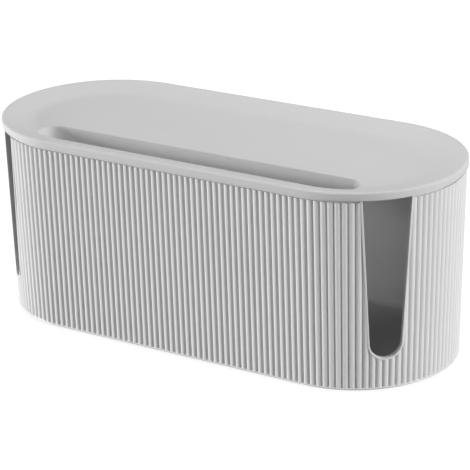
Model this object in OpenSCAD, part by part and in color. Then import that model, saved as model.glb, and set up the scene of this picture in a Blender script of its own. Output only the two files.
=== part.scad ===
// Cable management box: a reeded tub on four rubber feet, with a lift-off dished lid.
// Millimetres. +Z is up, +X runs along the length, the device trough is at the front (-Y).
// The origin is on the table, under the middle of the box.

/* [Overall] */
// Length over the lid rim
box_length = 320; // [240:1:420]
// Width over the lid rim
box_width = 139; // [110:1:180]
// Height from the table to the lid rim
box_height = 129; // [90:1:170]

/* [Tub] */
// Thickness of the tub wall, measured at the crests of the ribs
wall = 3.2; // [2.4:0.1:4.5]
// Thickness of the tub floor
floor_thickness = 2.6; // [1.6:0.1:5]
// Inward lean of the wall towards the floor, in degrees
draft_angle = 1.4; // [0:0.05:2]
// Height of the plain band below the ribs
base_band = 3.2; // [2:0.1:8]
// Height of the plain band above the ribs
rim_band = 0.8; // [0.6:0.1:3]
// Rounding of the outer bottom edge
base_round = 1.6; // [0.5:0.1:2.5]
// Rounding inside the tub, where wall and floor meet
inner_round = 5; // [2:0.5:10]
// How far the lid rim stands out past the ribs
lid_overhang = 0.9; // [0.5:0.1:2]

/* [Ribs] */
// Ribs along each straight side
ribs_per_side = 45; // [20:1:60]
// Ribs round each end
ribs_per_end = 50; // [24:1:64]
// Radius of each half-round rib
rib_radius = 2.45; // [2.2:0.05:4]
// Height of a rib above the groove beside it
rib_relief = 0.95; // [0.4:0.05:1.4]
// Least width of the flat floor of a groove
groove_floor = 0.5; // [0.2:0.1:1]

/* [Cable slots] */
// Direction of each slot from the long axis towards the front, in degrees
slot_direction = 45; // [30:1:60]
// Radius of the round bottom of a slot
slot_radius = 10.1; // [6:0.1:12]
// Lean of each slot edge outwards, in degrees
slot_flare = 3.1; // [0:0.1:5]
// Height of the lowest point of a slot above the table
slot_sill = 21.7; // [14:0.1:50]
// Width of the smooth border that ends the ribs round a slot
slot_border = 1.3; // [0.6:0.1:3]

/* [Lid] */
// Thickness of the lid
lid_wall = 2; // [1.6:0.1:3]
// Height of the lid's edge above the tub
rim_height = 5; // [4:0.1:8]
// Width of the raised rim along the lid's edge
rim_width = 2.6; // [2.2:0.1:5]
// Rounding of the rim's top and bottom edges
rim_round = 0.8; // [0.3:0.1:1]
// Depth of the dished top below the rim
dish_depth = 4.2; // [3.6:0.1:6]
// Width of the curved slope between the rim and the dish floor
dish_slope = 18; // [12:0.5:24]
// Height that the slope climbs before it meets the rim
dish_rise = 2.2; // [1.2:0.1:2.4]
// Rounding of the corner between slope and rim
dish_corner = 1; // [0.4:0.1:1.2]
// Height of the skirt that locates the lid in the tub
skirt_height = 5; // [3:0.5:12]
// Thickness of the skirt
skirt_wall = 1.6; // [1.2:0.1:2.5]
// Gap between the skirt and the tub wall
skirt_clearance = 0.5; // [0.3:0.05:1]
// Bevel that leads the skirt into the tub
skirt_bevel = 0.5; // [0.2:0.1:1]
// Gap in the skirt beside each cable slot
skirt_gap = 2; // [1:0.5:5]

/* [Device trough] */
// Length of the trough, inside
trough_length = 230; // [120:1:236]
// Distance of the trough's back edge from the lid's middle line
trough_back = 29.5; // [20:0.5:34]
// Distance of the trough's front edge from the lid's edge
trough_inset = 15.3; // [12:0.1:20]
// Depth of the trough below the dish floor
trough_depth = 14; // [10:0.5:40]
// Thickness of the trough's walls
trough_wall = 1.8; // [1.2:0.1:3]
// Plan radius of the trough's back corners
trough_corner = 10; // [8:0.5:12]
// Rounding along the bottom of the trough
trough_round = 6; // [2:0.5:7]
// Bevel along the trough's upper edge
trough_bevel = 0.6; // [0.2:0.1:1]

/* [Feet] */
// Diameter of each rubber foot
foot_diameter = 14; // [8:0.5:20]
// Height of each foot below the tub
foot_height = 1.2; // [0.6:0.1:4]
// Depth of the recess that each foot is glued into
foot_recess = 0.8; // [0.4:0.1:1.2]
// Distance of each foot from the end of the box
foot_inset = 55; // [45:1:80]
// Distance of each foot from the middle line, across the width
foot_offset = 38; // [20:1:45]

/* [Hidden] */

// Anything that cuts goes this far past the surface it opens
over = 1;
// Anything that joins goes this far into what carries it
bite = 0.4;
// Height at which a rib's round flank ends in a straight side, above the groove floor
rib_side = 0.1;
// How far the slot borders stand proud of the rib crests, and the plain bands of the borders
proud = 0.1;
// How far a slot's border is set back from the slot's edge
border_step = 0.15;
// Half the angle of end wall that a slot and its border take up
slot_reach = 26;
// Gap between a foot and the side of its recess
foot_clearance = 0.2;
// Bevel round the tread of a foot
foot_bevel = 0.4;
// Facets round a full turn of the large and of the small curves
$fn = 96;
fine = 32;

lid_r = box_width / 2;
half_straight = box_length / 2 - lid_r;
tub_base = foot_height;
tub_rim = box_height - rim_height;
lean = tan(draft_angle);
ribs_base = tub_base + base_band;
ribs_top = tub_rim - rim_band;

dish_floor = box_height - dish_depth;
rim_inner_r = lid_r - rim_width;
dish_floor_r = rim_inner_r - dish_slope;
// Radius of the curved slope
slope_r = (pow(dish_slope, 2) + pow(dish_rise, 2)) / (2 * dish_rise);
skirt_r = crest_r(tub_rim - skirt_height) - wall - skirt_clearance;
skirt_inner_r = skirt_r - skirt_wall;
trough_bottom = dish_floor - trough_depth;
trough_front_r = lid_r - trough_inset;
foot_x = box_length / 2 - foot_inset;

// Distance of the rib crests from the end's centre at height z
function crest_r(z) = lid_r - lid_overhang - (tub_rim - z) * lean;

// Half the width of a slot at height z, above its round bottom
function slot_half(z) =
    let (centre = slot_sill + slot_radius)
    (slot_radius + (z - centre) * sin(slot_flare)) / cos(slot_flare);

// Points round an arc, in the plane of a profile
function arc(x, y, r, from, to, steps = 6) =
    [for (i = [0:steps]) let (t = from + (to - from) * i / steps) [x + r * cos(t), y + r * sin(t)]];

// Sweeps a profile, drawn as distance outwards by height, round a racetrack plan
module racetrack(half = half_straight) {
    for (side = [0, 180])
        rotate(side) {
            translate([half, 0, 0])
                rotate(-90)
                    rotate_extrude(angle = 180)
                        children();
            rotate([90, 0, 90])
                linear_extrude(2 * half, center = true)
                    children();
        }
}

// Repeats what is drawn for the right end at the left end
module at_both_ends() {
    for (side = [0, 1])
        mirror([side, 0, 0])
            translate([half_straight, 0, 0])
                children();
}

// ---- Tub ----

// Floor, base band, and wall out to the bottom of the grooves
module tub_shell() {
    band_r = crest_r(ribs_base) + 2 * proud;
    base_r = crest_r(tub_base) + 2 * proud;
    floor_top = tub_base + floor_thickness;
    bore_foot_r = crest_r(floor_top) - wall;
    racetrack()
        polygon(concat(
            [[0, tub_base]],
            arc(base_r - base_round, tub_base + base_round, base_round, -90, 0),
            [
                [band_r, ribs_base],
                [crest_r(ribs_base) - rib_relief, ribs_base],
                [crest_r(ribs_top) - rib_relief, ribs_top],
                [crest_r(tub_rim) + 2 * proud, ribs_top],
                [crest_r(tub_rim) + 2 * proud, tub_rim],
                [crest_r(tub_rim) - wall, tub_rim]
            ],
            arc(bore_foot_r - inner_round, floor_top + inner_round, inner_round, 0, -90),
            [[0, floor_top]]
        ));
}

// One half-round rib at the given pitch, leaning with the wall and facing +X
module rib(pitch) {
    root = rib_radius - rib_relief - bite;
    flank = rib_radius - rib_relief + rib_side;
    strip = min(pitch - groove_floor, 2 * sqrt(pow(rib_radius, 2) - pow(flank, 2)));
    translate([crest_r(ribs_base) - rib_radius, 0, ribs_base - bite])
        rotate([0, draft_angle, 0])
            linear_extrude(ribs_top - ribs_base + 2 * bite)
                intersection() {
                    circle(rib_radius, $fn = fine);
                    translate([root, -strip / 2])
                        square([rib_radius, strip]);
                }
}

// All the ribs, evenly along each straight side and evenly round each end
module ribs() {
    pitch = 2 * half_straight / ribs_per_side;
    for (side = [0, 180], i = [0:ribs_per_side - 1])
        rotate(side)
            translate([(i + 0.5) * pitch - half_straight, 0, 0])
                rotate(-90)
                    rib(pitch);
    at_both_ends()
        for (i = [0:ribs_per_end - 1])
            end_rib((i + 0.5) * 180 / ribs_per_end - 90);
}

// One rib of an end, stopped inside the border where it would cross a slot
module end_rib(direction) {
    pitch = 2 * crest_r(ribs_base) * sin(90 / ribs_per_end);
    if (abs(direction + slot_direction) < slot_reach)
        difference() {
            rotate(direction)
                rib(pitch);
            slot_prism(slot_border / 2);
        }
    else
        rotate(direction)
            rib(pitch);
}

// Outline of a slot, open at the top, with a round bottom and flared edges
module slot_outline(grow) {
    r = slot_radius + grow;
    centre = slot_sill + slot_radius;
    top = tub_rim + over;
    top_half = slot_half(top) + grow / cos(slot_flare);
    tangent_x = r * cos(slot_flare);
    tangent_y = centre - r * sin(slot_flare);
    translate([0, centre])
        circle(r);
    polygon([[-tangent_x, tangent_y], [tangent_x, tangent_y], [top_half, top], [-top_half, top]]);
}

// That outline pushed out through the wall, seen from the centre of the right end
module slot_prism(grow = 0) {
    rotate(-slot_direction)
        translate([lid_r / 2, 0, 0])
            rotate([90, 0, 90])
                linear_extrude(lid_r / 2 + over)
                    slot_outline(grow);
}

// Smooth border that the ribs run into round a slot, set back from the slot's edge
module slot_frame() {
    inside = wall - bite;
    intersection() {
        difference() {
            slot_prism(slot_border);
            slot_prism(border_step);
        }
        rotate_extrude()
            polygon([
                [crest_r(ribs_base) - inside, ribs_base],
                [crest_r(ribs_base) + proud, ribs_base],
                [crest_r(ribs_top) + proud, ribs_top + bite],
                [crest_r(ribs_top) - inside, ribs_top + bite]
            ]);
    }
}

module tub() {
    color("#d2d2d2") {
        difference() {
            tub_shell();
            at_both_ends()
                slot_prism();
            for (x = [-1, 1], y = [-1, 1])
                translate([x * foot_x, y * foot_offset, tub_base - over])
                    cylinder(d = foot_diameter + 2 * foot_clearance, h = over + foot_recess, $fn = fine);
        }
        at_both_ends()
            slot_frame();
        ribs();
    }
}

// ---- Lid ----

// Solid from the dished top down past the trough, with the rim and the skirt's outer face
module lid_block() {
    edge = min(rim_round, 0.4 * rim_width);
    core_r = skirt_inner_r - over;
    skirt_foot = tub_rim - skirt_height;
    block_base = trough_bottom - trough_wall - over;
    // Centre of the corner's rounding, which touches the rim's inner face and the slope
    corner_x = rim_inner_r - dish_corner;
    corner_reach = slope_r - dish_corner;
    corner_z = dish_floor + slope_r - sqrt(pow(corner_reach, 2) - pow(corner_x - dish_floor_r, 2));
    corner_turn = asin((corner_x - dish_floor_r) / corner_reach);
    racetrack()
        polygon(concat(
            [
                [0, block_base],
                [core_r, block_base],
                [core_r, skirt_foot],
                [skirt_r - skirt_bevel, skirt_foot],
                [skirt_r, skirt_foot + skirt_bevel],
                [skirt_r, tub_rim]
            ],
            arc(lid_r - edge, tub_rim + edge, edge, -90, 0, 4),
            arc(lid_r - edge, box_height - edge, edge, 0, 90, 4),
            arc(rim_inner_r + edge, box_height - edge, edge, 90, 180, 4),
            arc(corner_x, corner_z, dish_corner, 0, corner_turn - 90, 4),
            arc(dish_floor_r, dish_floor + slope_r, slope_r, corner_turn - 90, -90, 10),
            [[0, dish_floor]]
        ));
}

// The space under the lid inside its skirt, a lid's thickness below the top
module lid_underside() {
    under_r = slope_r + lid_wall;
    under_turn = asin((skirt_inner_r - dish_floor_r) / under_r);
    racetrack()
        polygon(concat(
            [[0, 0], [skirt_inner_r, 0]],
            arc(dish_floor_r, dish_floor + slope_r, under_r, under_turn - 90, -90, 10),
            [[0, dish_floor - lid_wall]]
        ));
}

// Half outline of a pan with rounded bottom edges, bevelled outwards where it meets the dish
module pan_profile(r, grow, bevel = 0) {
    base = trough_bottom - grow;
    round_r = trough_round + grow;
    polygon(concat(
        [[0, base]],
        arc(r - round_r, base + round_r, round_r, -90, 0),
        [
            [r, dish_floor - bevel],
            [r + bevel + over, dish_floor + over],
            [0, dish_floor + over]
        ]
    ));
}

// The trough: a pan with rounded back corners, whose front wall follows the lid's edge
module trough(grow, bevel = 0) {
    corner_x = trough_length / 2 - trough_corner;
    intersection() {
        racetrack()
            pan_profile(trough_front_r + grow, grow, bevel);
        translate([0, -trough_back - trough_corner, 0]) {
            racetrack(corner_x)
                pan_profile(trough_corner + grow, grow, bevel);
            rotate([90, 0, 0])
                linear_extrude(lid_r)
                    for (side = [0, 1])
                        mirror([side, 0])
                            union() {
                                translate([corner_x, 0])
                                    pan_profile(trough_corner + grow, grow, bevel);
                                translate([0, trough_bottom - grow])
                                    square([corner_x, trough_depth + grow + over]);
                            }
        }
    }
}

module lid() {
    gap_half = slot_half(tub_rim) + skirt_gap;
    gap_start = sqrt(pow(skirt_inner_r, 2) - pow(gap_half, 2)) - bite;
    color("#cfcfcf")
        difference() {
            lid_block();
            difference() {
                lid_underside();
                trough(trough_wall);
            }
            trough(0, trough_bevel);
            at_both_ends()
                rotate(-slot_direction)
                    translate([gap_start, -gap_half, tub_rim - skirt_height - over])
                        cube([lid_r, 2 * gap_half, skirt_height + over]);
        }
}

// ---- Feet ----

// A rubber foot that stands proud of its recess, with a bevelled tread on the table
module foot(x, y) {
    color("#3a3a3a")
        translate([x * foot_x, y * foot_offset, 0])
            rotate_extrude($fn = fine)
                polygon([
                    [0, 0],
                    [foot_diameter / 2 - foot_bevel, 0],
                    [foot_diameter / 2, foot_bevel],
                    [foot_diameter / 2, foot_height + foot_recess],
                    [0, foot_height + foot_recess]
                ]);
}

module foot_front_left() { foot(-1, -1); }
module foot_front_right() { foot(1, -1); }
module foot_rear_left() { foot(-1, 1); }
module foot_rear_right() { foot(1, 1); }

tub();
lid();
foot_front_left();
foot_front_right();
foot_rear_left();
foot_rear_right();
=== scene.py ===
"""Cable management box: a reeded tub on rubber feet, under a dished lid with a device trough.

The box's sizes are in millimetres, and become metres only where a mesh or a node is written.
The stage is in metres.
"""

import math

import bmesh
import bpy
from mathutils import Matrix, Vector


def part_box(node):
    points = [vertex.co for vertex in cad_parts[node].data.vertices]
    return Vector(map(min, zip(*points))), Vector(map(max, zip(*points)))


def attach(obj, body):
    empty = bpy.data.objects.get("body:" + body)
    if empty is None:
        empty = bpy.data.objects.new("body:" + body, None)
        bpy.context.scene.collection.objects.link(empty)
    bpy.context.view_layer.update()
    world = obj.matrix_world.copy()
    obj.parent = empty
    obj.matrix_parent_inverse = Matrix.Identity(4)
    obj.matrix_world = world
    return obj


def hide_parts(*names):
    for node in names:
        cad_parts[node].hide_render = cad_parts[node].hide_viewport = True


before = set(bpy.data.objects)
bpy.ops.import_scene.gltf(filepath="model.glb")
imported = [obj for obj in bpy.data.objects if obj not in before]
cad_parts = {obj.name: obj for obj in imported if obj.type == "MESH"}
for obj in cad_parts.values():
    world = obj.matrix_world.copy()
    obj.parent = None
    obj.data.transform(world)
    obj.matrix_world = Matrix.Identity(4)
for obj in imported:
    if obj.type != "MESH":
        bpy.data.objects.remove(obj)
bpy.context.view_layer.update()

# ---- Sizes, taken from the frame where it has them ----

METRES = 0.001
tub_low, tub_high = [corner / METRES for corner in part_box("tub")]
lid_low, lid_high = [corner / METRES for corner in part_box("lid")]

# Racetrack plan: a half circle at each end, joined by two straight sides
LID_R = lid_high.y
HALF_STRAIGHT = lid_high.x - LID_R
BOX_TOP = lid_high.z
TUB_BASE = tub_low.z
TUB_RIM = tub_high.z

# Tub wall, which leans outwards by its draft
WALL = 3.2
FLOOR_THICKNESS = 2.6
LEAN = math.tan(math.radians(1.4))
LID_OVERHANG = 0.9
BASE_ROUND = 0.9
INNER_ROUND = 5.0
RIM_ROUND = 0.3

# Plain band under the ribs, and shadow line over them
BASE_BAND = 1.3
BAND_CHAMFER = 0.15
RIM_BAND = 1.2
LEDGE_RISE = 0.05
RIBS_BASE = TUB_BASE + BASE_BAND
RIBS_TOP = TUB_RIM - RIM_BAND
# The step from the ribs to the band, the slot borders and the shadow line
STEP = 0.1

# Reeding: one half-round rib after another, with a small fillet in each groove
RIBS_PER_SIDE = 45
RIBS_PER_END = 50
RIB_RADIUS = 2.15
RIB_RELIEF = 1.2
RIB_FADE = 0.12
GROOVE_FILLET = 0.12
RIB_STEPS = 8

# Cable slots: a round bottom, and two sides that flare upwards
SLOT_DIRECTION = math.radians(45)
SLOT_RADIUS = 10.1
SLOT_FLARE = math.radians(3.1)
SLOT_BOTTOM = 21.7
SLOT_CENTRE = SLOT_BOTTOM + SLOT_RADIUS
SLOT_STEPS = 28
SLOT_BORDER = 1.3
BORDER_ROUND = 0.35
BORDER_STEPS = 40
BORDER_SIDE_STEPS = 10
# The border reaches a little past the wall's inner face, and stops just below the rim
BORDER_INSIDE = 0.05
BORDER_DROP = 0.02

# Lid
LID_WALL = 2.0
LID_END_STEPS = 64
RIM_WIDTH = 2.6
RIM_TOP_ROUND = 1.0
RIM_INNER_ROUND = 5.0
RIM_FOOT_ROUND = 0.7
DISH_DEPTH = 4.2
DISH_SLOPE = 18.0
DISH_BEND = 40.0
DISH_FLOOR = BOX_TOP - DISH_DEPTH
RIM_INNER_R = LID_R - RIM_WIDTH
DISH_FLOOR_R = RIM_INNER_R - DISH_SLOPE

# The skirt under the lid, with a gap over each slot
SKIRT_HEIGHT = 5.0
SKIRT_WALL = 1.6
SKIRT_CLEARANCE = 0.5
SKIRT_BEVEL = 0.5
SKIRT_GAP = 2.0
SKIRT_FOOT = TUB_RIM - SKIRT_HEIGHT

# Device trough
TROUGH_HALF = 115.0
TROUGH_BACK = 29.5
TROUGH_MARGIN = 15.3
TROUGH_FRONT_R = LID_R - TROUGH_MARGIN
TROUGH_WALL = 1.8
TROUGH_CORNER = 10.0
TROUGH_FRONT_CORNER = 9.0
TROUGH_ROUND = 6.0
TROUGH_LIP = 0.7
TROUGH_FLOOR = lid_low.z + TROUGH_WALL

# Rubber pads. The grooves' places and half width are shares of the pad's radius.
PAD_EDGE = 0.4
TREAD_DEPTH = 0.25
TREAD_PLACES = (0.40, 0.70)
TREAD_HALF_WIDTH = 0.05
PAD_STEPS = 40

# Right and left
SIDES = (1, -1)
# How far a cutter reaches past what it cuts, outside and inside
OVER = 1.0
UNDER = 0.4
# Points that are nearer than WELD become one, and edges shorter than SLIVER go
WELD = 0.005
SLIVER = 0.002


def crest_r(z):
    """Distance of the rib crests from the end's centre at height z."""
    return LID_R - LID_OVERHANG - (TUB_RIM - z) * LEAN


SKIRT_R = crest_r(SKIRT_FOOT) - WALL - SKIRT_CLEARANCE
SKIRT_INNER_R = SKIRT_R - SKIRT_WALL


# ---- Points ----

def arc(x, y, r, start, end, steps):
    """Points round an arc in a plane. Angles in degrees."""
    points = []
    for i in range(steps + 1):
        angle = math.radians(start + (end - start) * i / steps)
        points.append((x + r * math.cos(angle), y + r * math.sin(angle)))
    return points


def between(start, end, share):
    """The point at a share of the way from start to end."""
    return [a + (b - a) * share for a, b in zip(start, end)]


def slot_point(side, out, across, z):
    """A point given by its distances along and across a slot's direction, from the end's centre."""
    x = out * math.cos(SLOT_DIRECTION) + across * math.sin(SLOT_DIRECTION)
    y = across * math.cos(SLOT_DIRECTION) - out * math.sin(SLOT_DIRECTION)
    return side * (HALF_STRAIGHT + x), y, z


# ---- Materials ----

def linear(code):
    """An sRGB hex colour as linear RGBA."""
    channels = [int(code[i:i + 2], 16) / 255 for i in (1, 3, 5)]
    return [c / 12.92 if c <= 0.04045 else ((c + 0.055) / 1.055) ** 2.4 for c in channels] + [1]


def add(tree, kind, inputs=(), **settings):
    """Adds one node to a tree.

    inputs holds (socket, value) pairs. A value that is an output is linked, and one that is a node
    is linked by its first output.
    """
    node = tree.nodes.new(kind)
    for name, value in settings.items():
        setattr(node, name, value)
    for socket, value in inputs:
        if isinstance(value, bpy.types.Node):
            value = value.outputs[0]
        if isinstance(value, bpy.types.NodeSocket):
            tree.links.new(value, node.inputs[socket])
        else:
            node.inputs[socket].default_value = value
    return node


def new_material(name):
    """An empty node material and its tree."""
    material = bpy.data.materials.new(name)
    material.use_nodes = True
    material.node_tree.nodes.clear()
    return material, material.node_tree


def moulded_plastic(name, colour, roughness, grain, grain_depth, specular=0.5):
    """Plastic moulded against a finished tool: its grain and a slow waviness, in millimetres.

    The grain gives a soft broken highlight, and the waviness keeps wide faces from looking ruled.
    """
    wave = 45
    wave_depth = 0.15
    gloss_change = 0.04
    material, tree = new_material(name)
    place = add(tree, "ShaderNodeTexCoord")
    fine = add(tree, "ShaderNodeTexNoise", [
        ("Vector", place.outputs["Object"]), ("Scale", 1 / (grain * METRES)), ("Detail", 3.0)])
    slow = add(tree, "ShaderNodeTexNoise", [
        ("Vector", place.outputs["Object"]), ("Scale", 1 / (wave * METRES)), ("Detail", 2.0)])
    shade = add(tree, "ShaderNodeMapRange", [
        ("Value", slow.outputs["Fac"]), ("From Min", 0.35), ("From Max", 0.65),
        ("To Min", 0.985), ("To Max", 1.0)])
    tint = add(tree, "ShaderNodeVectorMath", [
        (0, linear(colour)[:3]), (3, shade.outputs["Result"])], operation="SCALE")
    gloss = add(tree, "ShaderNodeMapRange", [
        ("Value", fine.outputs["Fac"]), ("From Min", 0.3), ("From Max", 0.7),
        ("To Min", roughness - gloss_change), ("To Max", roughness + gloss_change)])
    wavy = add(tree, "ShaderNodeBump", [
        ("Height", slow.outputs["Fac"]), ("Strength", 0.25), ("Distance", wave_depth * METRES)])
    grained = add(tree, "ShaderNodeBump", [
        ("Height", fine.outputs["Fac"]), ("Strength", 0.5), ("Distance", grain_depth * METRES),
        ("Normal", wavy.outputs["Normal"])])
    shader = add(tree, "ShaderNodeBsdfPrincipled", [
        ("Base Color", tint.outputs["Vector"]), ("Roughness", gloss.outputs["Result"]),
        ("IOR", 1.49), ("Specular IOR Level", specular), ("Normal", grained.outputs["Normal"])])
    add(tree, "ShaderNodeOutputMaterial", [("Surface", shader.outputs["BSDF"])])
    return material


def moulded_rubber(name, grain, grain_depth):
    """Compression-moulded SBR rubber: dark, dull and slightly dusty, with an open grain in millimetres."""
    material, tree = new_material(name)
    place = add(tree, "ShaderNodeTexCoord")
    open_grain = add(tree, "ShaderNodeTexNoise", [
        ("Vector", place.outputs["Object"]), ("Scale", 1 / (grain * METRES)), ("Detail", 4.0)])
    dust = add(tree, "ShaderNodeMix", [
        ("Factor", open_grain.outputs["Fac"]), ("A", linear("#2c2c2d")), ("B", linear("#444445"))],
        data_type="RGBA")
    bump = add(tree, "ShaderNodeBump", [
        ("Height", open_grain.outputs["Fac"]), ("Strength", 0.6), ("Distance", grain_depth * METRES)])
    shader = add(tree, "ShaderNodeBsdfPrincipled", [
        ("Base Color", dust.outputs[2]), ("Roughness", 0.85), ("IOR", 1.52),
        ("Normal", bump.outputs["Normal"])])
    add(tree, "ShaderNodeOutputMaterial", [("Surface", shader.outputs["BSDF"])])
    return material


# Polypropylene moulded in a polished tool: a satin sheen that runs down each rib.
# Its marks are finer than 0.1 mm. They would not show, so they are drawn as a grain of 0.9 mm.
satin_polypropylene = moulded_plastic("satin_moulded_polypropylene", "#d6d6d6", roughness=0.33,
                                      grain=0.9, grain_depth=0.02)
# Polypropylene moulded in a spark-eroded tool: an even matt grain with no clear reflection.
# Its craters are about 0.1 mm wide. They would not show, so they are drawn as a grain of 0.7 mm.
matt_polypropylene = moulded_plastic("spark_textured_polypropylene", "#c6c6c6", roughness=0.62,
                                     grain=0.7, grain_depth=0.05, specular=0.4)
# Rubber pads on the underside: dark and without shine.
# Their grain is about 0.2 mm. It would not show, so it is drawn as one of 0.8 mm.
black_rubber = moulded_rubber("moulded_sbr_rubber", grain=0.8, grain_depth=0.08)


# ---- Mesh helpers ----

def new_object(name, vertices, faces):
    """A mesh object from vertices in millimetres."""
    mesh = bpy.data.meshes.new(name)
    mesh.from_pydata([[c * METRES for c in v] for v in vertices], [], faces)
    mesh.update()
    thing = bpy.data.objects.new(name, mesh)
    bpy.context.scene.collection.objects.link(thing)
    return thing


def edit(thing, change):
    """Runs change on a bmesh of the object's mesh and writes it back."""
    mesh = bmesh.new()
    mesh.from_mesh(thing.data)
    change(mesh)
    mesh.to_mesh(thing.data)
    mesh.free()
    thing.data.update()


def weld(mesh):
    """Makes one point of those that lie together."""
    bmesh.ops.remove_doubles(mesh, verts=mesh.verts, dist=WELD * METRES)


def turn_outwards(mesh):
    """Welds doubles, drops faces with no area and makes every face point outwards."""
    weld(mesh)
    bmesh.ops.dissolve_degenerate(mesh, edges=mesh.edges, dist=SLIVER * METRES)
    bmesh.ops.recalc_face_normals(mesh, faces=mesh.faces)


def shade_by_angle(mesh, degrees=32):
    """Smooth faces, with an edge kept sharp where it turns further than the given angle."""
    for face in mesh.faces:
        face.smooth = True
    for edge in mesh.edges:
        edge.smooth = edge.calc_face_angle(0) < math.radians(degrees)


def tube(name, rings):
    """A closed solid through rings of points, with as many points in each, and a cap on both ends."""
    count = len(rings[0])
    vertices = [point for ring in rings for point in ring]
    faces = []
    for first in range(0, len(vertices) - count, count):
        for i in range(count):
            a, b = first + i, first + (i + 1) % count
            faces.append((a, b, b + count, a + count))
    faces += [tuple(range(count)), tuple(range(len(vertices) - 1, len(vertices) - count - 1, -1))]
    solid = new_object(name, vertices, faces)
    edit(solid, turn_outwards)
    return solid


def apply_modifiers(thing):
    """Replaces the object's mesh by what its modifiers make of it, and removes them."""
    bpy.context.view_layer.update()
    graph = bpy.context.evaluated_depsgraph_get()
    made = bpy.data.meshes.new_from_object(thing.evaluated_get(graph))
    thing.modifiers.clear()
    thing.data = made


def boolean(thing, tools, operation):
    """Cuts the tools from the object, or joins them to it, and removes the tools."""
    for tool in tools:
        modifier = thing.modifiers.new(operation, "BOOLEAN")
        modifier.operation = operation
        modifier.solver = "EXACT"
        modifier.object = tool
        apply_modifiers(thing)
        bpy.data.objects.remove(tool)


def finish_piece(thing, material, body, nodes):
    """Gives a piece its one material, its body and the CAD nodes that it stands for."""
    thing.data.materials.clear()
    thing.data.materials.append(material)
    for face in thing.data.polygons:
        face.material_index = 0
    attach(thing, body)
    if nodes:
        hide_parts(*nodes)


# ---- The racetrack sweep, as a node tree ----

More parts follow.
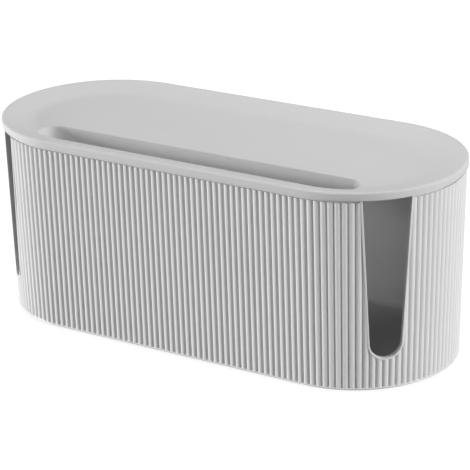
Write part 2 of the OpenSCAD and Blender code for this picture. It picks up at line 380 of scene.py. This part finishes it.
def sweep_tree():
    """Sweeps a profile round the racetrack plan, sinking a groove between one rib and the next.

    The profile's points give distance outwards (x) and height (z), and their attribute "reed" says
    how much of the ribs' relief each takes. A cell is one rib's width.
    """
    tree = bpy.data.node_groups.new("racetrack_sweep", "GeometryNodeTree")
    face = tree.interface
    face.new_socket("Profile", in_out="INPUT", socket_type="NodeSocketGeometry")
    for name in ("Half straight", "Rib radius", "Rib relief", "Groove fillet"):
        face.new_socket(name, in_out="INPUT", socket_type="NodeSocketFloat")
    for name in ("Cells per side", "Cells per end", "Steps per cell"):
        face.new_socket(name, in_out="INPUT", socket_type="NodeSocketInt")
    face.new_socket("Material", in_out="INPUT", socket_type="NodeSocketMaterial")
    face.new_socket("Geometry", in_out="OUTPUT", socket_type="NodeSocketGeometry")
    given = add(tree, "NodeGroupInput").outputs
    profile, half_straight, rib_radius = given["Profile"], given["Half straight"], given["Rib radius"]
    side_cells, end_cells = given["Cells per side"], given["Cells per end"]
    steps = given["Steps per cell"]
    sum_node = "ShaderNodeMath"

    # A grid with one row for each point of the profile, and one column for each step round the plan
    rows = add(tree, "GeometryNodeAttributeDomainSize", [("Geometry", profile)],
               component="MESH").outputs["Point Count"]
    half_cells = add(tree, sum_node, [(0, side_cells), (1, end_cells)], operation="ADD")
    all_cells = add(tree, sum_node, [(0, half_cells), (1, 2.0)], operation="MULTIPLY")
    columns = add(tree, sum_node, [(0, all_cells), (1, steps), (2, 1.0)], operation="MULTIPLY_ADD")
    grid = add(tree, "GeometryNodeMeshGrid", [("Vertices X", columns), ("Vertices Y", rows)])

    # Which column and which row of the grid a point is in
    index = add(tree, "GeometryNodeInputIndex")
    safe_index = add(tree, sum_node, [(0, index), (1, 0.5)], operation="ADD")
    columns_done = add(tree, sum_node, [(0, safe_index), (1, rows)], operation="DIVIDE")
    column = add(tree, sum_node, [(0, columns_done)], operation="FLOOR")
    column_start = add(tree, sum_node, [(0, column), (1, rows)], operation="MULTIPLY")
    row = add(tree, sum_node, [(0, index), (1, column_start)], operation="SUBTRACT")

    # How many cells it is from the start, in which half of the plan, and how far into that half
    count = add(tree, sum_node, [(0, column), (1, steps)], operation="DIVIDE")
    halves_done = add(tree, sum_node, [(0, count), (1, half_cells)], operation="DIVIDE")
    half = add(tree, sum_node, [(0, halves_done)], operation="FLOOR")
    half_start = add(tree, sum_node, [(0, half), (1, half_cells)], operation="MULTIPLY")
    place = add(tree, sum_node, [(0, count), (1, half_start)], operation="SUBTRACT")

    # Along the straight side first, then round the end
    side_done = add(tree, sum_node, [(0, place), (1, side_cells)], operation="MINIMUM")
    along = add(tree, sum_node, [(0, side_done), (1, side_cells)], operation="DIVIDE")
    from_middle = add(tree, sum_node, [(0, along), (1, 2.0), (2, -1.0)], operation="MULTIPLY_ADD")
    centre = add(tree, sum_node, [(0, from_middle), (1, half_straight)], operation="MULTIPLY")
    past_side = add(tree, sum_node, [(0, place), (1, side_cells)], operation="SUBTRACT")
    end_done = add(tree, sum_node, [(0, past_side), (1, 0.0)], operation="MAXIMUM")
    around = add(tree, sum_node, [(0, end_done), (1, end_cells)], operation="DIVIDE")
    half_turns = add(tree, sum_node, [(0, around), (1, 0.5)], operation="SUBTRACT")
    angle = add(tree, sum_node, [(0, half_turns), (1, math.pi)], operation="MULTIPLY")

    # The profile's own point for this row
    position = add(tree, "GeometryNodeInputPosition")
    sampled = add(tree, "GeometryNodeSampleIndex", [
        ("Geometry", profile), ("Value", position), ("Index", row)], data_type="FLOAT_VECTOR")
    point = add(tree, "ShaderNodeSeparateXYZ", [("Vector", sampled)])
    reed_attribute = add(tree, "GeometryNodeInputNamedAttribute", [("Name", "reed")], data_type="FLOAT")
    reed = add(tree, "GeometryNodeSampleIndex", [
        ("Geometry", profile), ("Value", reed_attribute), ("Index", row)], data_type="FLOAT")

    # A rib's width at this point
    side_length = add(tree, sum_node, [(0, half_straight), (1, 2.0)], operation="MULTIPLY")
    side_pitch = add(tree, sum_node, [(0, side_length), (1, side_cells)], operation="DIVIDE")
    end_length = add(tree, sum_node, [(0, point.outputs["X"]), (1, math.pi)], operation="MULTIPLY")
    end_pitch = add(tree, sum_node, [(0, end_length), (1, end_cells)], operation="DIVIDE")
    on_end = add(tree, sum_node, [(0, place), (1, side_cells)], operation="GREATER_THAN")
    change = add(tree, sum_node, [(0, end_pitch), (1, side_pitch)], operation="SUBTRACT")
    pitch = add(tree, sum_node, [(0, on_end), (1, change), (2, side_pitch)], operation="MULTIPLY_ADD")

    # Depth below the crest of a half-round rib, down to the groove with its fillet
    share = add(tree, sum_node, [(0, count)], operation="FRACT")
    off_crest = add(tree, sum_node, [(0, share), (1, 0.5)], operation="SUBTRACT")
    across = add(tree, sum_node, [(0, off_crest), (1, pitch)], operation="MULTIPLY")
    radius_squared = add(tree, sum_node, [(0, rib_radius), (1, 2.0)], operation="POWER")
    across_squared = add(tree, sum_node, [(0, across), (1, 2.0)], operation="POWER")
    height_squared = add(tree, sum_node, [(0, radius_squared), (1, across_squared)],
                         operation="SUBTRACT")
    height = add(tree, sum_node, [(0, height_squared)], operation="SQRT")
    sunk = add(tree, sum_node, [(0, rib_radius), (1, height)], operation="SUBTRACT")
    depth = add(tree, sum_node, [(0, sunk), (1, given["Rib relief"]), (2, given["Groove fillet"])],
                operation="SMOOTH_MIN")
    taken = add(tree, sum_node, [(0, depth), (1, reed)], operation="MULTIPLY")
    radius = add(tree, sum_node, [(0, point.outputs["X"]), (1, taken)], operation="SUBTRACT")

    # The second half of the plan is the first turned right round
    odd_half = add(tree, sum_node, [(0, half), (1, 2.0)], operation="MODULO")
    turned_by = add(tree, sum_node, [(0, odd_half), (1, 2.0)], operation="MULTIPLY")
    turned = add(tree, sum_node, [(0, 1.0), (1, turned_by)], operation="SUBTRACT")
    cosine = add(tree, sum_node, [(0, angle)], operation="COSINE")
    half_x = add(tree, sum_node, [(0, radius), (1, cosine), (2, centre)], operation="MULTIPLY_ADD")
    sine = add(tree, sum_node, [(0, angle)], operation="SINE")
    half_y = add(tree, sum_node, [(0, radius), (1, sine)], operation="MULTIPLY")
    x = add(tree, sum_node, [(0, turned), (1, half_x)], operation="MULTIPLY")
    y = add(tree, sum_node, [(0, turned), (1, half_y)], operation="MULTIPLY")

    spot = add(tree, "ShaderNodeCombineXYZ", [("X", x), ("Y", y), ("Z", point.outputs["Z"])])
    placed = add(tree, "GeometryNodeSetPosition", [("Geometry", grid), ("Position", spot)])
    welded = add(tree, "GeometryNodeMergeByDistance", [
        ("Geometry", placed), ("Distance", 2 * WELD * METRES)])
    real = add(tree, "GeometryNodeRealizeInstances", [("Geometry", welded)])
    dressed = add(tree, "GeometryNodeSetMaterial", [
        ("Geometry", real), ("Material", given["Material"])])
    add(tree, "NodeGroupOutput", [("Geometry", dressed)])
    return tree


SWEEP = sweep_tree()


def sweep(name, profile, material, cells_per_side, cells_per_end, steps_per_cell):
    """A solid swept round the racetrack from (distance outwards, height, reed) points."""
    thing = new_object(name, [(r, 0, z) for r, z, reed in profile], [])
    reeding = thing.data.attributes.new("reed", "FLOAT", "POINT")
    reeding.data.foreach_set("value", [reed for r, z, reed in profile])
    values = {
        "Half straight": HALF_STRAIGHT * METRES,
        "Rib radius": RIB_RADIUS * METRES,
        "Rib relief": RIB_RELIEF * METRES,
        "Groove fillet": GROOVE_FILLET * METRES,
        "Cells per side": cells_per_side,
        "Cells per end": cells_per_end,
        "Steps per cell": steps_per_cell,
        "Material": material,
    }
    modifier = thing.modifiers.new("sweep", "NODES")
    modifier.node_group = SWEEP
    for socket in SWEEP.interface.items_tree:
        if socket.name in values:
            modifier[socket.identifier] = values[socket.name]
    apply_modifiers(thing)
    edit(thing, turn_outwards)
    return thing


# ---- Tub ----

def tub_profile():
    """Half section of the tub, from the middle of its underside round to the middle of its floor."""
    base_r = crest_r(TUB_BASE) + 2 * STEP
    ribs_base_r = crest_r(RIBS_BASE)
    ribs_top_r = crest_r(RIBS_TOP)
    # The ribs stop at a shadow line under the lid
    rim_r = crest_r(TUB_RIM) - RIB_RELIEF - STEP
    rim_inner_r = crest_r(TUB_RIM) - WALL
    floor_top = TUB_BASE + FLOOR_THICKNESS
    floor_r = crest_r(floor_top) - WALL

    band = [(0, TUB_BASE)]
    band += arc(base_r - BASE_ROUND, TUB_BASE + BASE_ROUND, BASE_ROUND, -90, 0, 6)
    band += [(ribs_base_r + STEP, RIBS_BASE - BAND_CHAMFER), (ribs_base_r, RIBS_BASE)]
    ribs = [(ribs_base_r, RIBS_BASE + RIB_FADE), (ribs_top_r, RIBS_TOP - RIB_FADE)]
    rim = [(ribs_top_r, RIBS_TOP), (rim_r, RIBS_TOP + LEDGE_RISE)]
    rim += arc(rim_r - RIM_ROUND, TUB_RIM - RIM_ROUND, RIM_ROUND, 0, 90, 3)
    rim += arc(rim_inner_r + RIM_ROUND, TUB_RIM - RIM_ROUND, RIM_ROUND, 90, 180, 3)
    bore = arc(floor_r - INNER_ROUND, floor_top + INNER_ROUND, INNER_ROUND, 0, -90, 7)
    bore += [(0, floor_top)]
    return ([(r, z, 0) for r, z in band] + [(r, z, 1) for r, z in ribs]
            + [(r, z, 0) for r, z in rim + bore])


def slot_path(grow, top, steps):
    """A slot's edge as (across, height) points, down one side, round the bottom and up the other."""
    r = SLOT_RADIUS + grow
    flare = math.degrees(SLOT_FLARE)
    half = (r + (top - SLOT_CENTRE) * math.sin(SLOT_FLARE)) / math.cos(SLOT_FLARE)
    return [(-half, top)] + arc(0, SLOT_CENTRE, r, 180 + flare, 360 - flare, steps) + [(half, top)]


def slot_cutter(side):
    """The slot's outline, as far as the middle of its border, pushed through the wall."""
    path = slot_path(SLOT_BORDER / 2, TUB_RIM + 2 * OVER, SLOT_STEPS)
    return tube("slot_cutter", [[slot_point(side, out, across, z) for across, z in path]
                                for out in (LID_R / 2, LID_R + 2 * OVER)])


def slot_border(side):
    """The smooth border round a slot: a rounded bead as thick as the wall, swept along its edge."""
    # The bead's section, as (distance from the slot's edge, depth below the crests) points
    soft = BORDER_ROUND
    near, far = soft, SLOT_BORDER - soft
    outer, inner = soft - STEP, WALL + BORDER_INSIDE - soft
    section = arc(near, outer, soft, 180, 270, 4) + arc(far, outer, soft, 270, 360, 4)
    section += arc(far, inner, soft, 0, 90, 3) + arc(near, inner, soft, 90, 180, 3)

    # The slot's edge, with both straight sides in steps that follow the wall's curve
    path = slot_path(0, TUB_RIM - BORDER_DROP, BORDER_STEPS)
    shares = [i / BORDER_SIDE_STEPS for i in range(BORDER_SIDE_STEPS + 1)]
    left = [between(path[0], path[1], share) for share in shares[:-1]]
    right = [between(path[-2], path[-1], share) for share in shares[1:]]
    path = left + path[1:-1] + right

    rings = []
    for i, (across, z) in enumerate(path):
        before, after = path[max(i - 1, 0)], path[min(i + 1, len(path) - 1)]
        run = Vector((after[0] - before[0], after[1] - before[1])).normalized()
        away = Vector((run.y, -run.x))
        if i in (0, len(path) - 1):
            away = Vector((math.copysign(1, across), 0))
        ring = []
        for offset, depth in section:
            bead_across, bead_z = across + away.x * offset, z + away.y * offset
            radius = crest_r(bead_z) - depth
            ring.append(slot_point(side, math.sqrt(radius ** 2 - bead_across ** 2), bead_across, bead_z))
        rings.append(ring)
    border = tube("slot_border_" + ("right" if side > 0 else "left"), rings)
    edit(border, shade_by_angle)
    return border


def make_tub():
    """The reeded shell with its slots cut, and the border beads that the ribs run into."""
    shell = sweep("reeded_tub", tub_profile(), satin_polypropylene, RIBS_PER_SIDE, RIBS_PER_END, RIB_STEPS)
    boolean(shell, [slot_cutter(side) for side in SIDES], "DIFFERENCE")
    edit(shell, turn_outwards)
    edit(shell, shade_by_angle)
    finish_piece(shell, satin_polypropylene, "tub", ["tub"])
    for side in SIDES:
        finish_piece(slot_border(side), satin_polypropylene, "tub", [])


# ---- Lid ----

def lid_profile():
    """Half section of the lid, from the middle of its top round the rim and skirt to its underside."""
    # The floor bends up into a straight slope, which turns over into the rim
    tilt = math.degrees(math.atan(DISH_DEPTH / DISH_SLOPE))
    half_turn = math.tan(math.radians(tilt / 2))
    bend_r = DISH_FLOOR_R - DISH_BEND * half_turn
    turn_r = RIM_INNER_R + RIM_INNER_ROUND * half_turn
    under_floor = DISH_FLOOR - LID_WALL
    under_slope = under_floor + (SKIRT_INNER_R - DISH_FLOOR_R) * DISH_DEPTH / DISH_SLOPE
    top, inner, foot = RIM_TOP_ROUND, RIM_INNER_ROUND, RIM_FOOT_ROUND
    points = [(0, DISH_FLOOR)]
    points += arc(bend_r, DISH_FLOOR + DISH_BEND, DISH_BEND, -90, tilt - 90, 10)
    points += arc(turn_r, BOX_TOP - inner, inner, 90 + tilt, 90, 6)
    points += arc(LID_R - top, BOX_TOP - top, top, 90, 0, 8)
    points += arc(LID_R - foot, TUB_RIM + foot, foot, 0, -90, 5)
    points += [(SKIRT_R, TUB_RIM), (SKIRT_R, SKIRT_FOOT + SKIRT_BEVEL)]
    points += [(SKIRT_R - SKIRT_BEVEL, SKIRT_FOOT), (SKIRT_INNER_R, SKIRT_FOOT)]
    points += [(SKIRT_INNER_R, under_slope), (DISH_FLOOR_R, under_floor), (0, under_floor)]
    return [(r, z, 0) for r, z in points]


def trough_outline(inset):
    """Plan of the trough moved inwards by inset: straight back, and a front that follows the rim."""
    x = TROUGH_HALF - inset
    corner = TROUGH_CORNER - inset
    front = TROUGH_FRONT_CORNER - inset
    ring = TROUGH_FRONT_R - inset
    out = x - front - HALF_STRAIGHT
    front_y = -math.sqrt((ring - front) ** 2 - out ** 2)
    turn = math.degrees(math.atan2(front_y, out))
    right = arc(x - corner, -TROUGH_BACK - TROUGH_CORNER, corner, 90, 0, 10)
    right += arc(x - front, front_y, front, 0, turn, 10)
    right += arc(HALF_STRAIGHT, 0, ring, turn, -90, 10)[1:]
    return right + [(-px, py) for px, py in reversed(right)]


def trough_solid(name, grow, top):
    """The trough's hollow, or with grow its outside, with the rounding along its bottom."""
    bottom = TROUGH_FLOOR - grow
    round_r = TROUGH_ROUND + grow
    levels = [(round_r - out - grow, z) for out, z in arc(0, bottom + round_r, round_r, -90, 0, 8)]
    levels.append((-grow, top))
    return tube(name, [[(x, y, z) for x, y in trough_outline(inset)] for inset, z in levels])


def skirt_cutter(side):
    """The gap in the skirt that keeps a cable slot clear."""
    half = SLOT_RADIUS + (TUB_RIM - SLOT_CENTRE) * math.sin(SLOT_FLARE) + SKIRT_GAP
    near = math.sqrt(SKIRT_INNER_R ** 2 - half ** 2) - UNDER
    far = LID_R + OVER
    corners = [(near, -half), (far, -half), (far, half), (near, half)]
    return tube("skirt_cutter", [[slot_point(side, out, across, z) for out, across in corners]
                                 for z in (SKIRT_FOOT - OVER, TUB_RIM)])


def soften_trough(mesh):
    """Rounds the edge where the trough's faces, which have the second material, meet the dish."""
    weld(mesh)
    lip = [edge for edge in mesh.edges if len(edge.link_faces) == 2
           and edge.link_faces[0].material_index != edge.link_faces[1].material_index]
    bmesh.ops.bevel(mesh, geom=lip, offset=TROUGH_LIP * METRES, segments=4, profile=0.5,
                    affect="EDGES", clamp_overlap=False)


def make_lid():
    """The dished lid with its skirt, and the trough hung in it."""
    lid = sweep("dished_lid", lid_profile(), matt_polypropylene, 1, LID_END_STEPS, 1)
    boolean(lid, [trough_solid("trough_outside", TROUGH_WALL, DISH_FLOOR - LID_WALL / 2)], "UNION")
    hollow = trough_solid("trough_hollow", 0, BOX_TOP + 2 * OVER)
    # The second material only marks the hollow's faces until its edge is rounded
    hollow.data.materials.append(matt_polypropylene)
    hollow.data.materials.append(black_rubber)
    for face in hollow.data.polygons:
        face.material_index = 1
    boolean(lid, [hollow], "DIFFERENCE")
    boolean(lid, [skirt_cutter(side) for side in SIDES], "DIFFERENCE")
    edit(lid, soften_trough)
    edit(lid, turn_outwards)
    edit(lid, shade_by_angle)
    finish_piece(lid, matt_polypropylene, "lid", ["lid"])


# ---- Feet ----

def make_foot(node):
    """A turned rubber pad with a rounded edge and two tread grooves, in the place of its node."""
    low, high = [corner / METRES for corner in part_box(node)]
    centre = (low + high) / 2
    radius = (high.x - low.x) / 2
    section = [(0, 0)]
    for groove in TREAD_PLACES:
        section += [(radius * (groove - TREAD_HALF_WIDTH), 0), (radius * groove, TREAD_DEPTH),
                    (radius * (groove + TREAD_HALF_WIDTH), 0)]
    section += arc(radius - PAD_EDGE, PAD_EDGE, PAD_EDGE, -90, 0, 4)
    section += [(radius, high.z - low.z), (0, high.z - low.z)]
    vertices = []
    for i in range(PAD_STEPS):
        angle = 2 * math.pi * i / PAD_STEPS
        vertices += [(centre.x + r * math.cos(angle), centre.y + r * math.sin(angle), low.z + z)
                     for r, z in section]
    count = len(section)
    faces = []
    for i in range(PAD_STEPS):
        for j in range(count - 1):
            a, b = i * count + j, ((i + 1) % PAD_STEPS) * count + j
            faces.append((a, b, b + 1, a + 1))
    foot = new_object("pad_" + node.replace("foot_", ""), vertices, faces)
    edit(foot, turn_outwards)
    edit(foot, shade_by_angle)
    finish_piece(foot, black_rubber, "tub", [node])


# ---- Stage, in metres ----

FLOOR_WIDTH = 12
# The grey that the floor throws back on the box, and the grey that it shows
FLOOR_BOUNCE = 0.32
FLOOR_SHOWN = 0.95
# How bright the floor's white is, and the share of it that shows beside the box. The share grows
# to all of it between two distances from the middle.
FLOOR_WHITE = 1.08
WHITE_BESIDE_BOX = 0.82
FADE_START = 0.3
FADE_END = 1.1

WORLD_LIGHT = 0.06

# Soft boxes, all aimed at the middle of the box: name, place, width, and power in watts
BOX_MIDDLE = (0, 0, 0.06)
SOFT_BOXES = (
    ("key_left", (-3.95, -2.3, 0.6), 1.1, 222),
    ("fill_left", (-2.6, -3.5, 0.9), 1.2, 28),
    ("rim_right", (3.0, 0.25, 1.0), 1.4, 92),
    ("back_high", (-0.5, 2.1, 2.8), 1.8, 66),
    ("top_front", (0.2, -1.1, 3.2), 1.4, 21),
)


def soft_box(name, place, width, power):
    """A square area lamp."""
    lamp = bpy.data.lights.new(name, "AREA")
    lamp.shape = "RECTANGLE"
    lamp.size = lamp.size_y = width
    lamp.energy = power
    holder = bpy.data.objects.new(name, lamp)
    holder.location = place
    holder.rotation_euler = (Vector(BOX_MIDDLE) - Vector(place)).to_track_quat("-Z", "Y").to_euler()
    bpy.context.scene.collection.objects.link(holder)


def white_floor():
    """A wide pale floor that keeps the object's shadow, and fades to white away from it."""
    bpy.ops.mesh.primitive_plane_add(size=FLOOR_WIDTH)
    floor = bpy.context.object
    floor.name = "floor"
    material, tree = new_material("white_studio_floor")
    rays = add(tree, "ShaderNodeLightPath")
    seen = add(tree, "ShaderNodeMath", [
        (0, rays.outputs["Is Camera Ray"]), (1, rays.outputs["Is Glossy Ray"])], operation="MAXIMUM")
    grey = add(tree, "ShaderNodeMix", [
        ("Factor", seen), ("A", FLOOR_BOUNCE), ("B", FLOOR_SHOWN)], data_type="FLOAT")
    paint = add(tree, "ShaderNodeBsdfDiffuse", [("Color", grey)])
    white = add(tree, "ShaderNodeEmission", [("Strength", FLOOR_WHITE)])
    place = add(tree, "ShaderNodeTexCoord")
    away = add(tree, "ShaderNodeVectorMath", [(0, place.outputs["Object"])], operation="LENGTH")
    fade = add(tree, "ShaderNodeMapRange", [
        ("Value", away.outputs["Value"]), ("From Min", FADE_START), ("From Max", FADE_END),
        ("To Min", WHITE_BESIDE_BOX), ("To Max", 1.0)])
    share = add(tree, "ShaderNodeMath", [(0, seen), (1, fade.outputs["Result"])], operation="MULTIPLY")
    mixed = add(tree, "ShaderNodeMixShader", [("Fac", share), (1, paint), (2, white)])
    add(tree, "ShaderNodeOutputMaterial", [("Surface", mixed)])
    floor.data.materials.append(material)


def studio_world():
    """Even pale light from all round, and pure white where the camera looks past the floor."""
    world = bpy.data.worlds.new("studio")
    bpy.context.scene.world = world
    world.use_nodes = True
    tree = world.node_tree
    tree.nodes.clear()
    rays = add(tree, "ShaderNodeLightPath")
    level = add(tree, "ShaderNodeMix", [
        ("Factor", rays.outputs["Is Camera Ray"]), ("A", WORLD_LIGHT), ("B", 1.0)], data_type="FLOAT")
    sky = add(tree, "ShaderNodeBackground", [("Color", (1, 1, 1, 1)), ("Strength", level)])
    add(tree, "ShaderNodeOutputWorld", [("Surface", sky)])


def set_camera():
    """The viewing angle, as a bearing, a height angle, a roll and a distance from the box."""
    bearing = math.radians(31.73)
    height = math.radians(21.416)
    roll = math.radians(-1.265)
    # Distance to the middle of the tub, and the slide of the camera that frames it, in millimetres
    distance = 1370.12
    slide_right = 3.28
    slide_up = -5.60
    middle = Vector((0, 0, 65.23))
    sensor_width = 36
    focal_length = 163.9
    back = Vector((math.sin(bearing) * math.cos(height), -math.cos(bearing) * math.cos(height),
                   math.sin(height)))
    right = Vector((math.cos(bearing), math.sin(bearing), 0))
    up = back.cross(right)
    place = (middle + right * slide_right + up * slide_up + back * distance) * METRES
    rolled_right = math.cos(roll) * right + math.sin(roll) * up
    rolled_up = math.cos(roll) * up - math.sin(roll) * right
    camera = bpy.data.cameras.new("camera")
    camera.lens = focal_length
    camera.sensor_width = sensor_width
    camera.clip_start = 0.05
    holder = bpy.data.objects.new("camera", camera)
    turn = Matrix((rolled_right, rolled_up, back)).transposed()
    holder.matrix_world = Matrix.Translation(place) @ turn.to_4x4()
    bpy.context.scene.collection.objects.link(holder)
    bpy.context.scene.camera = holder


make_tub()
make_lid()
for foot_node in ("foot_front_left", "foot_front_right", "foot_rear_left", "foot_rear_right"):
    make_foot(foot_node)

white_floor()
studio_world()
for lamp_row in SOFT_BOXES:
    soft_box(*lamp_row)
set_camera()
bpy.context.scene.view_settings.view_transform = "Standard"
